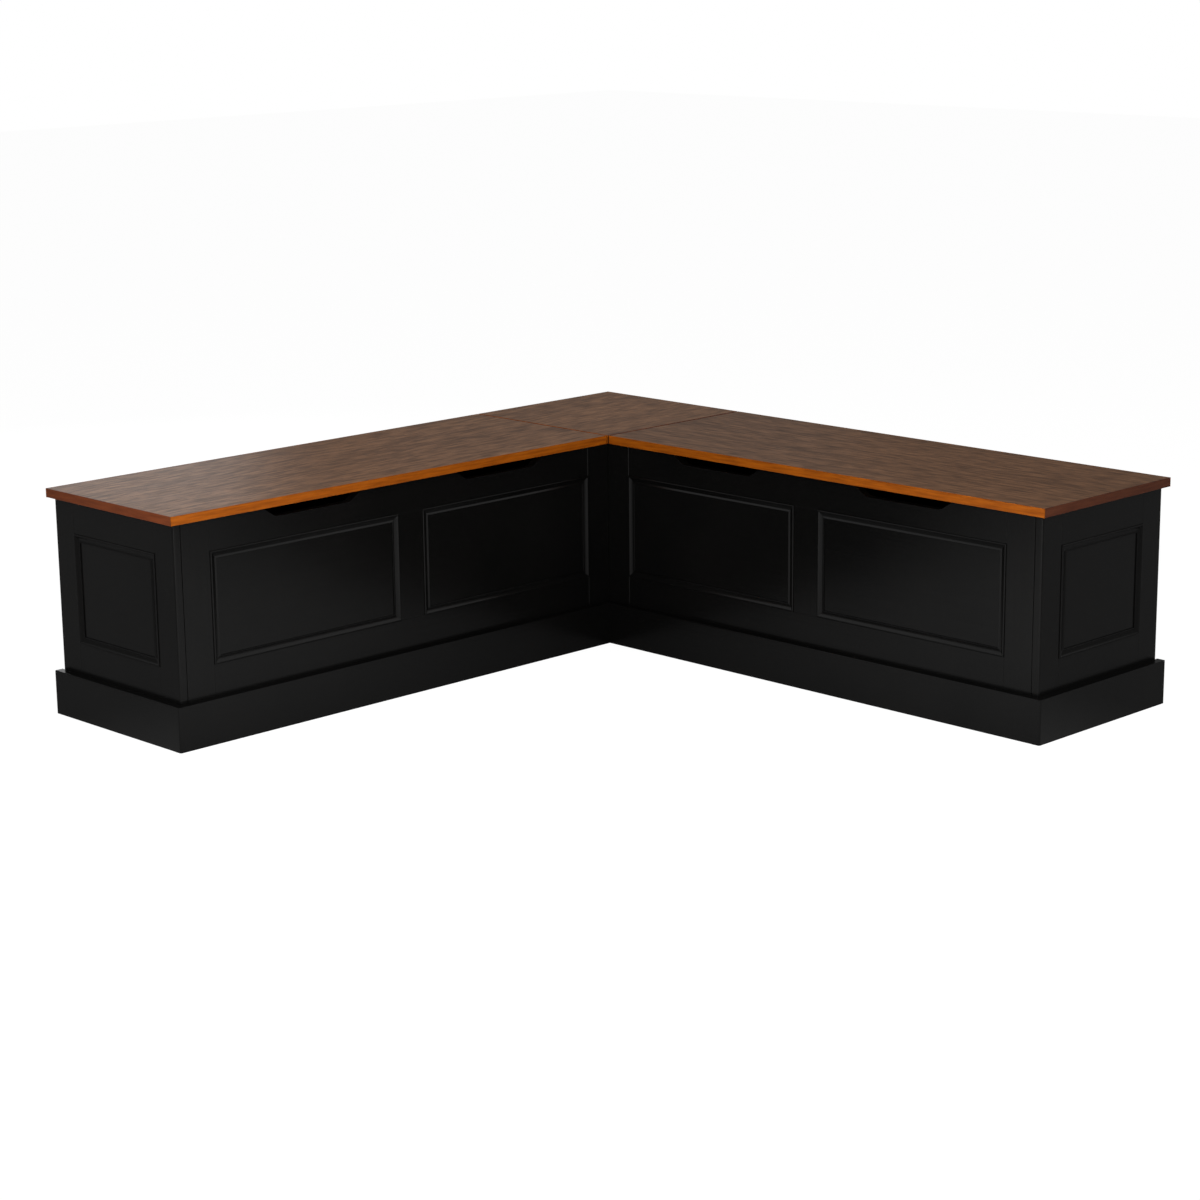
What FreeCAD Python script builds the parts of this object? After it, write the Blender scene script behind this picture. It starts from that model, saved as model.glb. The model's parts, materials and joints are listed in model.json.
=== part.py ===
import FreeCAD, Part
import Sketcher
import math
import os
import re

# Corner storage bench
#
# Two equal storage wings meet in a square corner against two walls. The right
# wing runs along +X with its front facing -Y, the left wing runs along -Y with
# its front facing +X, and +Z is up. The origin lies on the floor, in the middle
# of the square that the bench spans.
#
# A place on a wing is given by three distances: "along" from the wall corner
# towards the free end, "across" from the wall towards the front, and "up".

os.makedirs("parts", exist_ok=True)
document = FreeCAD.newDocument("corner_storage_bench")

# Driving dimensions, in millimetres and degrees
DRIVING = (
    ("wing_length", 1554, "top, from the wall corner to a free end"),
    ("top_depth", 409, "top, from the wall to its front edge"),
    ("seat_height", 457, "floor to the top's upper face"),
    ("top_board", 18, "thickness of the lids and the corner top"),
    ("lipping", 2, "solid wood edge round each lid and the corner top"),
    ("lid_gap", 3, "gap between a lid and the corner top"),
    ("board", 18, "thickness of stiles, rails, backs and partitions"),
    ("inset_front", 18, "case front behind the top's front edge"),
    ("inset_back", 7, "case back in front of the top's back edge"),
    ("inset_end", 16, "case end inside the top's free end"),
    ("plinth_height", 89, "plinth boards, up from the floor"),
    ("plinth_board", 18, "thickness of the plinth boards"),
    ("inner_stile", 62, "stile beside the inner corner, as it shows on a wing's front"),
    ("outer_stile", 65, "stile beside the free end on a wing's front"),
    ("muntin_width", 64, "upright between the two panels of a wing's front"),
    ("end_front_stile", 61.5, "front stile of a free end"),
    ("end_rear_stile", 60, "rear stile of a free end"),
    ("panel_low", 152, "lower edge of the panel openings"),
    ("panel_high", 373, "upper edge of the panel openings"),
    ("bottom_rail", 105, "height of the bottom rails"),
    ("panel_setback", 2.5, "panel face behind the frame face"),
    ("groove_setback", 8, "grooves and tongues behind the frame face"),
    ("groove_width", 6, "width of the grooves, and of the tongues in them"),
    ("groove_depth", 8, "grooves that hold the panels and the tenons"),
    ("panel_tongue", 7.5, "how far a panel reaches into its grooves"),
    ("moulding_ridge", 3.5, "width of the moulding's rounded outer ridge"),
    ("moulding_crown", 2.1, "distance of the ridge's crown from the outer edge"),
    ("moulding_spring", 1.2, "outer foot of the ridge's curve, in front of the frame face"),
    ("moulding_rise", 2.7, "crown of the ridge in front of the frame face"),
    ("moulding_foot", 2.2, "inner foot of the ridge's curve, in front of the frame face"),
    ("moulding_cove", 7.9, "width of the hollow that falls from the ridge"),
    ("moulding_hollow", 0.55, "how far that hollow is sunk below a straight slope"),
    ("moulding_thin", 0.9, "thickness of the moulding where the hollow ends"),
    ("moulding_lip", 3.4, "width of the slope that rises from the hollow to the inner edge"),
    ("moulding_lip_rise", 1.7, "rise of that slope"),
    ("moulding_nose", 0.7, "radius of the inner edge beside the panel"),
    ("grip_offset", 248, "middle of a finger grip from the middle of its rail"),
    ("grip_mouth", 254, "width of a finger grip at the rail's upper edge"),
    ("grip_slope", 34, "rise of a finger grip's sloping ends"),
    ("grip_depth", 23, "depth of a finger grip"),
    ("grip_round", 24, "radius of a finger grip's lower corners"),
    ("floor_top", 104, "upper face of the compartment's bottom board"),
    ("floor_board", 12, "thickness of the bottom board"),
    ("cleat", 22, "side of the square cleats"),
    ("hinge_length", 75, "length of a lid hinge"),
    ("hinge_leaf", 25, "hinge leaf, from the pin's axis to its edge"),
    ("hinge_plate", 1.6, "thickness of a hinge leaf"),
    ("hinge_inset", 130, "end of a lid to the middle of its end hinge"),
    ("hinge_hole_pitch", 26, "from one screw of a hinge leaf to the next"),
    ("hinge_hole_reach", 15, "pin's axis to the screws of a hinge leaf"),
    ("knuckle_radius", 3.2, "outside of the hinge knuckles"),
    ("knuckle_gap", 0.4, "end gap between two knuckles"),
    ("knuckle_clearance", 0.3, "knuckles behind the case's back"),
    ("pin_radius", 1.5, "hinge pin"),
    ("pin_clearance", 0.05, "radial play of a pin in its bore"),
    ("stay_radius", 180, "hinge axis to a stay's pivot, and to its case pin"),
    ("stay_angle", 14, "case pin below the level of the hinge axis"),
    ("stay_drop", 12, "stay pivot below the lid"),
    ("stay_plate", 2, "thickness of a stay's strips"),
    ("stay_width", 16, "width of a stay's arm"),
    ("stay_offset", 6, "middle of a stay's arm from the wall beside it"),
    ("stay_pin", 3, "radius of a stay's case pin and of its pivot stud"),
    ("stay_pin_head", 6, "radius of the case pin's head"),
    ("stay_stud_head", 4.8, "radius of the pivot stud's head"),
    ("stay_play", 0.25, "play at each side of the pin in the slot"),
    ("case_plate_width", 24, "plate that holds the case pin, across"),
    ("case_plate_height", 34, "plate that holds the case pin, up"),
    ("case_plate_pitch", 22, "between the plate's two screws"),
    ("bracket_length", 40, "flange of a stay bracket, across the lid"),
    ("bracket_reach", 24, "flange of a stay bracket, along the lid"),
    ("bracket_pitch", 26, "between the bracket's two screws"),
    ("lid_opening", 90, "full travel of a lid"),
    ("screw_head", 3.6, "radius of a countersunk screw head"),
    ("screw_shank", 1.8, "radius of a screw's shank"),
    ("screw_play", 0.1, "play round a screw in a metal plate"),
    ("screw_length", 14, "length of the screws in hinges and stays"),
    ("corner_screw", 32, "length of the screws that hold the corner top"),
    ("corner_screw_near", 105, "wall to the nearer screws of the corner top"),
    ("corner_screw_far", 295, "wall to the further screws of the corner top"),
    ("overcut", 1, "how far a cutting shape runs past the face it enters"),
)

sheet = document.addObject("Spreadsheet::Sheet", "Dimensions")
for row, (alias, value, meaning) in enumerate(DRIVING, 1):
    sheet.set(f"A{row}", meaning)
    sheet.set(f"B{row}", str(value))
    sheet.setAlias(f"B{row}", alias)
document.recompute()

ALIASES = {alias for alias, value, meaning in DRIVING}
size = {alias: float(sheet.get(alias)) for alias in ALIASES}
SIDES = ("left", "right")
nodes = []

# Places on a wing, as expressions on the driving dimensions
MIDDLE = "((wing_length + plinth_board - inset_end) / 2)"
CASE_TOP = "(seat_height - top_board)"
CASE_FRONT = "(top_depth - inset_front)"
CASE_END = "(wing_length - inset_end)"
INSIDE_BACK = "(inset_back + board)"
INSIDE_FRONT = f"({CASE_FRONT} - board)"
INSIDE_END = f"({CASE_END} - board)"
PARTITION_NEAR = "(top_depth - board / 2)"
PARTITION_FAR = "(top_depth + board / 2)"
OPENING = f"(({INSIDE_END} - {CASE_FRONT} - inner_stile - outer_stile - muntin_width) / 2)"
FIRST_OPENING = f"({CASE_FRONT} + inner_stile)"
MUNTIN = f"({FIRST_OPENING} + {OPENING})"
SECOND_OPENING = f"({MUNTIN} + muntin_width)"
LAST_STILE = f"({INSIDE_END} - outer_stile)"
END_OPENING = "(inset_back + end_rear_stile)"
END_FRONT_STILE = f"({CASE_FRONT} - end_front_stile)"
LID_START = "(top_depth + lid_gap)"
HINGE_ACROSS = "(inset_back - knuckle_radius - knuckle_clearance)"

# The same places as numbers, for pieces that are copied into place
middle = (size["wing_length"] + size["plinth_board"] - size["inset_end"]) / 2
case_top = size["seat_height"] - size["top_board"]
case_front = size["top_depth"] - size["inset_front"]
inside_end = size["wing_length"] - size["inset_end"] - size["board"]
partition_near = size["top_depth"] - size["board"] / 2
partition_far = size["top_depth"] + size["board"] / 2
lid_start = size["top_depth"] + size["lid_gap"]
first_opening = case_front + size["inner_stile"]
last_stile = inside_end - size["outer_stile"]
opening = (last_stile - first_opening - size["muntin_width"]) / 2
second_opening = first_opening + opening + size["muntin_width"]
hinge_across = size["inset_back"] - size["knuckle_radius"] - size["knuckle_clearance"]
hinge_up = case_top - size["hinge_plate"]


def bound(text):
    """Point every driving dimension named in an expression at its cell."""
    def cell(word):
        name = word.group()
        return "Dimensions." + name if name in ALIASES else name
    return re.sub(r"[a-z_]+", cell, text)


def kept(feature, label):
    """Make a finished feature one of the bench's named pieces."""
    feature.Label = label
    nodes.append(feature)
    return feature


def box(side, along, across, up):
    """A board, from its spans along, across and up a wing."""
    if side == "right":
        x_low, x_high = f"{along[0]} - {MIDDLE}", f"{along[1]} - {MIDDLE}"
        y_low, y_high = f"{MIDDLE} - {across[1]}", f"{MIDDLE} - {across[0]}"
    else:
        x_low, x_high = f"{across[0]} - {MIDDLE}", f"{across[1]} - {MIDDLE}"
        y_low, y_high = f"{MIDDLE} - {along[1]}", f"{MIDDLE} - {along[0]}"
    piece = document.addObject("Part::Box", "Board")
    piece.setExpression("Length", bound(f"({x_high}) - ({x_low})"))
    piece.setExpression("Width", bound(f"({y_high}) - ({y_low})"))
    piece.setExpression("Height", bound(f"{up[1]} - ({up[0]})"))
    piece.setExpression("Placement.Base.x", bound(x_low))
    piece.setExpression("Placement.Base.y", bound(y_low))
    piece.setExpression("Placement.Base.z", bound(up[0]))
    return piece


def joined(*pieces):
    """Several solids made into one."""
    fuse = document.addObject("Part::MultiFuse", "Joined")
    fuse.Shapes = list(pieces)
    return fuse


def cut(piece, *tools):
    """A solid with one or more others taken out of it."""
    result = document.addObject("Part::Cut", "Cut")
    result.Base = piece
    result.Tool = tools[0] if len(tools) == 1 else joined(*tools)
    return result


def group(label, shapes):
    """Like pieces that share one node, each still a solid of its own."""
    feature = document.addObject("Part::Feature", "Group")
    feature.Shape = Part.makeCompound(shapes)
    return kept(feature, label)


def wing_point(side, along, across, up):
    """A point of a wing, in the bench's own axes."""
    if side == "right":
        return FreeCAD.Vector(along - middle, middle - across, up)
    return FreeCAD.Vector(across - middle, middle - along, up)


def turn(axis, angle):
    """A turn about one of the main axes, in degrees."""
    return FreeCAD.Rotation(FreeCAD.Vector(*axis), angle)


X_AXIS, Y_AXIS, Z_AXIS = (1, 0, 0), (0, 1, 0), (0, 0, 1)

# Frames: stiles run from the floor to the top, rails stand between them on stub
# tenons, and the panels float on tongues in a groove behind the frame's face.
GROOVE = ("groove_setback", "(groove_setback + groove_width)")
FIELD = ("panel_setback", "(groove_setback + groove_width)")
FULL = ("0", "board")


def frame_box(side, face, run, depth, up):
    """A board of a wing's front or free end: run is sideways, depth is inwards from its face."""
    if face == "front":
        return box(side, run, (f"({CASE_FRONT} - {depth[1]})", f"({CASE_FRONT} - {depth[0]})"), up)
    return box(side, (f"({CASE_END} - {depth[1]})", f"({CASE_END} - {depth[0]})"), run, up)


def stile(label, side, face, run, grooved_edges):
    """An upright, grooved on the edges that meet a panel and its rails."""
    piece = frame_box(side, face, run, FULL, ("0", CASE_TOP))
    spans = {
        "low": (run[0], f"({run[0]} + groove_depth)"),
        "high": (f"({run[1]} - groove_depth)", run[1]),
    }
    tools = [frame_box(side, face, spans[edge], GROOVE, ("0", CASE_TOP)) for edge in grooved_edges]
    return kept(cut(piece, *tools), label)


def rail(label, side, face, run, up, grooved_edge):
    """A crosspiece with a stub tenon at each end and a panel groove along one edge."""
    reach = (f"({run[0]} - groove_depth)", f"({run[1]} + groove_depth)")
    if grooved_edge == "low":
        groove_up = (up[0], f"({up[0]} + groove_depth)")
    else:
        groove_up = (f"({up[1]} - groove_depth)", up[1])
    body = frame_box(side, face, run, FULL, up)
    tenon = frame_box(side, face, reach, GROOVE, up)
    groove = frame_box(side, face, reach, GROOVE, groove_up)
    return kept(cut(joined(body, tenon), groove), label)


def muntin(label, side):
    """The short upright between two panels, tenoned into both rails."""
    run = (MUNTIN, SECOND_OPENING)
    body = frame_box(side, "front", run, FULL, ("panel_low", "panel_high"))
    reach = ("(panel_low - groove_depth)", "(panel_high + groove_depth)")
    tenon = frame_box(side, "front", run, GROOVE, reach)
    grooves = [
        frame_box(side, "front", (MUNTIN, f"({MUNTIN} + groove_depth)"), GROOVE, reach),
        frame_box(side, "front", (f"({SECOND_OPENING} - groove_depth)", SECOND_OPENING), GROOVE, reach),
    ]
    return kept(cut(joined(body, tenon), *grooves), label)


def panel(label, side, face, run):
    """A flat panel nearly level with its frame, on a tongue that fills the grooves all round it."""
    reach = (f"({run[0]} - panel_tongue)", f"({run[1]} + panel_tongue)")
    up = ("(panel_low - panel_tongue)", "(panel_high + panel_tongue)")
    field_run = (f"({run[0]} + groove_depth - panel_tongue)", f"({run[1]} - groove_depth + panel_tongue)")
    field_up = ("(panel_low + groove_depth - panel_tongue)", "(panel_high - groove_depth + panel_tongue)")
    tongue = frame_box(side, face, reach, GROOVE, up)
    field = frame_box(side, face, field_run, FIELD, field_up)
    return kept(joined(tongue, field), label)


# Sketches and their driven sizes

def sketch_on(body, role, name):
    """A sketch on one of a body's own origin planes."""
    sketch = body.newObject("Sketcher::SketchObject", name)
    plane = next(item for item in body.Origin.OriginFeatures if item.Role == role)
    sketch.AttachmentSupport = [(plane, "")]
    sketch.MapMode = "FlatFace"
    return sketch


def drive(sketch, kind, where, start, text):
    """Add a size to a sketch at its starting value and tie it to an expression."""
    index = sketch.addConstraint(Sketcher.Constraint(kind, *where, start))
    sketch.setExpression(f"Constraints[{index}]", bound(text))


def line(sketch, start, end):
    """A straight line in a sketch."""
    points = [FreeCAD.Vector(*point, 0) for point in (start, end)]
    return sketch.addGeometry(Part.LineSegment(*points), False)


def arc(sketch, centre, radius, first, last):
    """An arc in a sketch, between two angles in degrees."""
    circle = Part.Circle(FreeCAD.Vector(*centre, 0), FreeCAD.Vector(0, 0, 1), radius)
    ends = (math.radians(first), math.radians(last))
    return sketch.addGeometry(Part.ArcOfCircle(circle, *ends), False)


ORIGIN, START, END, CENTRE = (-1, 1), 1, 2, 3
HORIZONTAL_AXIS, VERTICAL_AXIS = -1, -2


def centred_rectangle(sketch, half, low, high, texts):
    """A rectangle centred on the vertical axis, from a low to a high edge."""
    corners = [(-half, low), (half, low), (half, high), (-half, high)]
    edges = [line(sketch, corners[i], corners[(i + 1) % 4]) for i in range(4)]
    for index, edge in enumerate(edges):
        sketch.addConstraint(Sketcher.Constraint("Coincident", edge, END, edges[(index + 1) % 4], START))
    for index, kind in ((1, "Vertical"), (2, "Horizontal"), (3, "Vertical")):
        sketch.addConstraint(Sketcher.Constraint(kind, edges[index]))
    sketch.addConstraint(Sketcher.Constraint("Symmetric", edges[0], START, edges[0], END, VERTICAL_AXIS))
    drive(sketch, "DistanceX", (edges[0], START, edges[0], END), 2 * half, f"2 * {texts[0]}")
    if low:
        drive(sketch, "DistanceY", (*ORIGIN, edges[0], START), low, texts[1])
    else:
        sketch.addConstraint(Sketcher.Constraint("PointOnObject", edges[0], START, HORIZONTAL_AXIS))
    drive(sketch, "DistanceY", (*ORIGIN, edges[2], START), high, texts[2])


def stadium(sketch, radius, low, high, texts):
    """A round-ended outline on the vertical axis, given by its radius and its two centres."""
    top = arc(sketch, (0, high), radius, 0, 180)
    left = line(sketch, (-radius, high), (-radius, low))
    bottom = arc(sketch, (0, low), radius, 180, 360)
    right = line(sketch, (radius, low), (radius, high))
    ring = ((top, left), (left, bottom), (bottom, right), (right, top))
    for first, second in ring:
        sketch.addConstraint(Sketcher.Constraint("Tangent", first, END, second, START))
    sketch.addConstraint(Sketcher.Constraint("PointOnObject", top, CENTRE, VERTICAL_AXIS))
    sketch.addConstraint(Sketcher.Constraint("Equal", top, bottom))
    if low:
        sketch.addConstraint(Sketcher.Constraint("PointOnObject", bottom, CENTRE, VERTICAL_AXIS))
        drive(sketch, "DistanceY", (*ORIGIN, bottom, CENTRE), low, texts[1])
    else:
        sketch.addConstraint(Sketcher.Constraint("Coincident", bottom, CENTRE, *ORIGIN))
    drive(sketch, "Radius", (top,), radius, texts[0])
    drive(sketch, "DistanceY", (*ORIGIN, top, CENTRE), high, texts[2])


def circle_at_origin(sketch, radius, text):
    """A circle about the sketch's origin."""
    circle = Part.Circle(FreeCAD.Vector(0, 0, 0), FreeCAD.Vector(0, 0, 1), radius)
    ring = sketch.addGeometry(circle, False)
    sketch.addConstraint(Sketcher.Constraint("Coincident", ring, CENTRE, *ORIGIN))
    drive(sketch, "Radius", (ring,), radius, text)


def grip_outline(sketch, height):
    """A finger grip: a shallow trapezium with rounded lower corners."""
    slope = size["grip_slope"]
    low = height - size["grip_depth"]
    left = size["grip_offset"] - size["grip_mouth"] / 2
    right = size["grip_offset"] + size["grip_mouth"] / 2
    radius = size["grip_round"]
    run = size["grip_depth"] / math.tan(math.radians(slope))
    run += radius * math.tan(math.radians(slope / 2))
    rise = radius * (1 - math.cos(math.radians(slope)))
    reach = radius * math.sin(math.radians(slope))
    mouth = line(sketch, (left, height), (right, height))
    right_slope = line(sketch, (right - run + reach, low + rise), (right, height))
    right_round = arc(sketch, (right - run, low + radius), radius, 270, 270 + slope)
    bottom = line(sketch, (left + run, low), (right - run, low))
    left_round = arc(sketch, (left + run, low + radius), radius, 270 - slope, 270)
    left_slope = line(sketch, (left + run - reach, low + rise), (left, height))
    sketch.addConstraint(Sketcher.Constraint("Coincident", mouth, START, left_slope, END))
    sketch.addConstraint(Sketcher.Constraint("Coincident", mouth, END, right_slope, END))
    sketch.addConstraint(Sketcher.Constraint("Tangent", right_slope, START, right_round, END))
    sketch.addConstraint(Sketcher.Constraint("Tangent", right_round, START, bottom, END))
    sketch.addConstraint(Sketcher.Constraint("Tangent", bottom, START, left_round, END))
    sketch.addConstraint(Sketcher.Constraint("Tangent", left_round, START, left_slope, START))
    sketch.addConstraint(Sketcher.Constraint("Horizontal", mouth))
    sketch.addConstraint(Sketcher.Constraint("Horizontal", bottom))
    drive(sketch, "DistanceX", (*ORIGIN, mouth, START), left, "grip_offset - grip_mouth / 2")
    drive(sketch, "DistanceX", (*ORIGIN, mouth, END), right, "grip_offset + grip_mouth / 2")
    drive(sketch, "DistanceY", (*ORIGIN, mouth, START), height, f"{CASE_TOP} - panel_high")
    drive(sketch, "DistanceY", (*ORIGIN, bottom, START), low, f"{CASE_TOP} - panel_high - grip_depth")
    drive(sketch, "Angle", (right_slope,), math.radians(slope), "grip_slope * 1 deg")
    drive(sketch, "Angle", (left_slope,), math.radians(180 - slope), "(180 - grip_slope) * 1 deg")
    drive(sketch, "Radius", (right_round,), radius, "grip_round")
    drive(sketch, "Radius", (left_round,), radius, "grip_round")


def grip_rail(label, side):
    """The top rail of a wing's front, with two finger grips in its upper edge."""
    half = (last_stile - first_opening) / 2
    height = case_top - size["panel_high"]
    half_text = f"(({LAST_STILE} - {FIRST_OPENING}) / 2)"
    height_text = f"({CASE_TOP} - panel_high)"
    front = size["groove_setback"]
    rear = front + size["groove_width"]
    body = document.addObject("PartDesign::Body", "GripRail")
    face = sketch_on(body, "XZ_Plane", "RailFace")
    centred_rectangle(face, half, 0, height, (half_text, "0", height_text))
    blank = body.newObject("PartDesign::Pad", "RailBlank")
    blank.Profile = face
    blank.Reversed = True
    blank.setExpression("Length", bound("board"))
    tenon_face = sketch_on(body, "XY_Plane", "TenonPlan")
    reach = half + size["groove_depth"]
    plan_texts = (f"({half_text} + groove_depth)", GROOVE[0], GROOVE[1])
    centred_rectangle(tenon_face, reach, front, rear, plan_texts)
    tenon = body.newObject("PartDesign::Pad", "RailTenons")
    tenon.Profile = tenon_face
    tenon.setExpression("Length", bound(height_text))
    groove_face = sketch_on(body, "XY_Plane", "GroovePlan")
    centred_rectangle(groove_face, reach, front, rear, plan_texts)
    groove = body.newObject("PartDesign::Pocket", "PanelGroove")
    groove.Profile = groove_face
    groove.Reversed = True
    groove.setExpression("Length", bound("groove_depth"))
    grip_face = sketch_on(body, "XZ_Plane", "GripOutline")
    grip_outline(grip_face, height)
    grip = body.newObject("PartDesign::Pocket", "Grip")
    grip.Profile = grip_face
    grip.setExpression("Length", bound("board"))
    document.recompute()
    pair = body.newObject("PartDesign::Mirrored", "GripPair")
    pair.Originals = [grip]
    pair.MirrorPlane = (grip_face, ["V_Axis"])
    body.Tip = pair
    centre = f"(({FIRST_OPENING} + {LAST_STILE}) / 2)"
    body.Placement = FreeCAD.Placement(FreeCAD.Vector(), turn(Z_AXIS, 0 if side == "right" else 90))
    if side == "right":
        body.setExpression("Placement.Base.x", bound(f"{centre} - {MIDDLE}"))
        body.setExpression("Placement.Base.y", bound(f"{MIDDLE} - {CASE_FRONT}"))
    else:
        body.setExpression("Placement.Base.x", bound(f"{CASE_FRONT} - {MIDDLE}"))
        body.setExpression("Placement.Base.y", bound(f"{MIDDLE} - {centre}"))
    body.setExpression("Placement.Base.z", bound("panel_high"))
    return kept(body, label)


# Panel mouldings: mitred strips glued round each panel. A rounded outer ridge
# stands in front of the frame, a wide hollow falls from it, and a short slope
# rises again to a rounded inner edge beside the panel.

def moulding_strip(length, distance):
    """The strip below a panel: length along its outer edge, distance below the panel's middle."""
    rear = -size["panel_setback"]
    spring = size["moulding_spring"]
    ridge = size["moulding_ridge"]
    foot = size["moulding_foot"]
    valley = ridge + size["moulding_cove"]
    floor = rear + size["moulding_thin"]
    lip = valley + size["moulding_lip"]
    lip_top = floor + size["moulding_lip_rise"]
    nose = size["moulding_nose"]
    width = lip + nose

    def point(inwards, outwards):
        return FreeCAD.Vector(0, -outwards, inwards - distance)

    def curve(start, through, end):
        return Part.Arc(point(*start), point(*through), point(*end)).toShape()

    def edge(start, end):
        return Part.makeLine(point(*start), point(*end))

    crown = (size["moulding_crown"], size["moulding_rise"])
    hollow = ((ridge + valley) / 2, (foot + floor) / 2 - size["moulding_hollow"])
    diagonal = nose / math.sqrt(2)
    profile = Part.Wire([
        edge((0, rear), (0, spring)),
        curve((0, spring), crown, (ridge, foot)),
        curve((ridge, foot), hollow, (valley, floor)),
        edge((valley, floor), (lip, lip_top)),
        curve((lip, lip_top), (lip + diagonal, lip_top - nose + diagonal), (width, lip_top - nose)),
        edge((width, lip_top - nose), (width, rear)),
        edge((width, rear), (0, rear)),
    ])
    strip = Part.Face(profile).extrude(FreeCAD.Vector(length, 0, 0))
    strip.translate(FreeCAD.Vector(-length / 2, 0, 0))
    deep = size["board"]
    mitred = Part.makePolygon([
        FreeCAD.Vector(-length / 2, -deep, -distance),
        FreeCAD.Vector(length / 2, -deep, -distance),
        FreeCAD.Vector(length / 2 - width, -deep, width - distance),
        FreeCAD.Vector(width - length / 2, -deep, width - distance),
        FreeCAD.Vector(-length / 2, -deep, -distance),
    ])
    keep = Part.Face(mitred).extrude(FreeCAD.Vector(0, 2 * deep, 0))
    return strip.common(keep).Solids[0]


def moulding_frame(side, face, run_middle, width):
    """Four mitred strips round one panel."""
    height = size["panel_high"] - size["panel_low"]
    strips = []
    for quarter in range(4):
        length, across = (width, height) if quarter % 2 == 0 else (height, width)
        strip = moulding_strip(length, across / 2)
        strip.rotate(FreeCAD.Vector(), FreeCAD.Vector(*Y_AXIS), 90 * quarter)
        strips.append(strip)
    up = (size["panel_high"] + size["panel_low"]) / 2
    if face == "front":
        place = wing_point(side, run_middle, case_front, up)
        faces_x = side == "left"
    else:
        place = wing_point(side, size["wing_length"] - size["inset_end"], run_middle, up)
        faces_x = side == "right"
    for strip in strips:
        strip.rotate(FreeCAD.Vector(), FreeCAD.Vector(*Z_AXIS), 90 if faces_x else 0)
        strip.translate(place)
    return strips


# The wings' fronts and free ends

for side in SIDES:
    inner_start = CASE_FRONT if side == "left" else INSIDE_FRONT
    stile(f"{side}_front_inner_stile", side, "front", (inner_start, FIRST_OPENING), ("high",))
    stile(f"{side}_front_outer_stile", side, "front", (LAST_STILE, INSIDE_END), ("low",))
    muntin(f"{side}_front_muntin", side)
    grip_rail(f"{side}_front_top_rail", side)
    bottom_up = ("(panel_low - bottom_rail)", "panel_low")
    rail(f"{side}_front_bottom_rail", side, "front", (FIRST_OPENING, LAST_STILE), bottom_up, "high")
    panel(f"{side}_front_inner_panel", side, "front", (FIRST_OPENING, MUNTIN))
    panel(f"{side}_front_outer_panel", side, "front", (SECOND_OPENING, LAST_STILE))
    stile(f"{side}_end_front_stile", side, "end", (END_FRONT_STILE, CASE_FRONT), ("low",))
    stile(f"{side}_end_rear_stile", side, "end", ("inset_back", END_OPENING), ("high",))
    end_run = (END_OPENING, END_FRONT_STILE)
    rail(f"{side}_end_top_rail", side, "end", end_run, ("panel_high", CASE_TOP), "low")
    rail(f"{side}_end_bottom_rail", side, "end", end_run, bottom_up, "high")
    panel(f"{side}_end_panel", side, "end", end_run)
    strips = moulding_frame(side, "front", first_opening + opening / 2, opening)
    strips += moulding_frame(side, "front", second_opening + opening / 2, opening)
    end_start = size["inset_back"] + size["end_rear_stile"]
    end_width = case_front - size["end_front_stile"] - end_start
    strips += moulding_frame(side, "end", end_start + end_width / 2, end_width)
    group(f"{side}_panel_mouldings", strips)

# Case: backs, partitions, bottom boards and the cleats that carry them

for side in SIDES:
    back_start = f"({INSIDE_BACK})" if side == "left" else "inset_back"
    back_across = ("inset_back", INSIDE_BACK)
    inside = (INSIDE_BACK, INSIDE_FRONT)
    kept(box(side, (back_start, INSIDE_END), back_across, ("0", CASE_TOP)), f"{side}_back_board")
    kept(box(side, (PARTITION_NEAR, PARTITION_FAR), inside, ("0", CASE_TOP)), f"{side}_partition")
    floor_up = ("(floor_top - floor_board)", "floor_top")
    kept(box(side, (PARTITION_FAR, INSIDE_END), inside, floor_up), f"{side}_bottom_board")

floor_cleats = []
corner_cleats = []
for side in SIDES:
    cleat_up = ("(floor_top - floor_board - cleat)", "(floor_top - floor_board)")
    for across in ((INSIDE_BACK, f"({INSIDE_BACK} + cleat)"), (f"({INSIDE_FRONT} - cleat)", INSIDE_FRONT)):
        floor_cleats.append(box(side, (PARTITION_FAR, INSIDE_END), across, cleat_up))
    top_up = (f"({CASE_TOP} - cleat)", CASE_TOP)
    wall_start = INSIDE_BACK if side == "right" else f"({INSIDE_BACK} + cleat)"
    wall_across = (INSIDE_BACK, f"({INSIDE_BACK} + cleat)")
    corner_cleats.append(box(side, (wall_start, PARTITION_NEAR), wall_across, top_up))
    beside = (f"({PARTITION_NEAR} - cleat)", PARTITION_NEAR)
    corner_cleats.append(box(side, beside, (f"({INSIDE_BACK} + cleat)", INSIDE_FRONT), top_up))

for label, cleats in (("bottom_board_cleats", floor_cleats), ("corner_top_cleats", corner_cleats)):
    bundle = document.addObject("Part::Compound", "Cleats")
    bundle.Links = cleats
    kept(bundle, label)

# Plinth: boards planted round the foot of the case, butted like a pinwheel. The
# left wing's front board covers its end board, and the right wing's end board
# covers its front board.
plinth_up = ("0", "plinth_height")
plinth_out = f"({CASE_END} + plinth_board)"
plinth_across = (CASE_FRONT, f"({CASE_FRONT} + plinth_board)")
left_front_run = (f"({CASE_FRONT} + plinth_board)", plinth_out)
kept(box("left", left_front_run, plinth_across, plinth_up), "left_plinth_front")
kept(box("left", (CASE_END, plinth_out), ("0", CASE_FRONT), plinth_up), "left_plinth_end")
kept(box("right", (CASE_FRONT, CASE_END), plinth_across, plinth_up), "right_plinth_front")
right_end_across = ("0", f"({CASE_FRONT} + plinth_board)")
kept(box("right", (CASE_END, plinth_out), right_end_across, plinth_up), "right_plinth_end")

# Tops: veneered boards with a thin solid edge on all four sides

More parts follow.
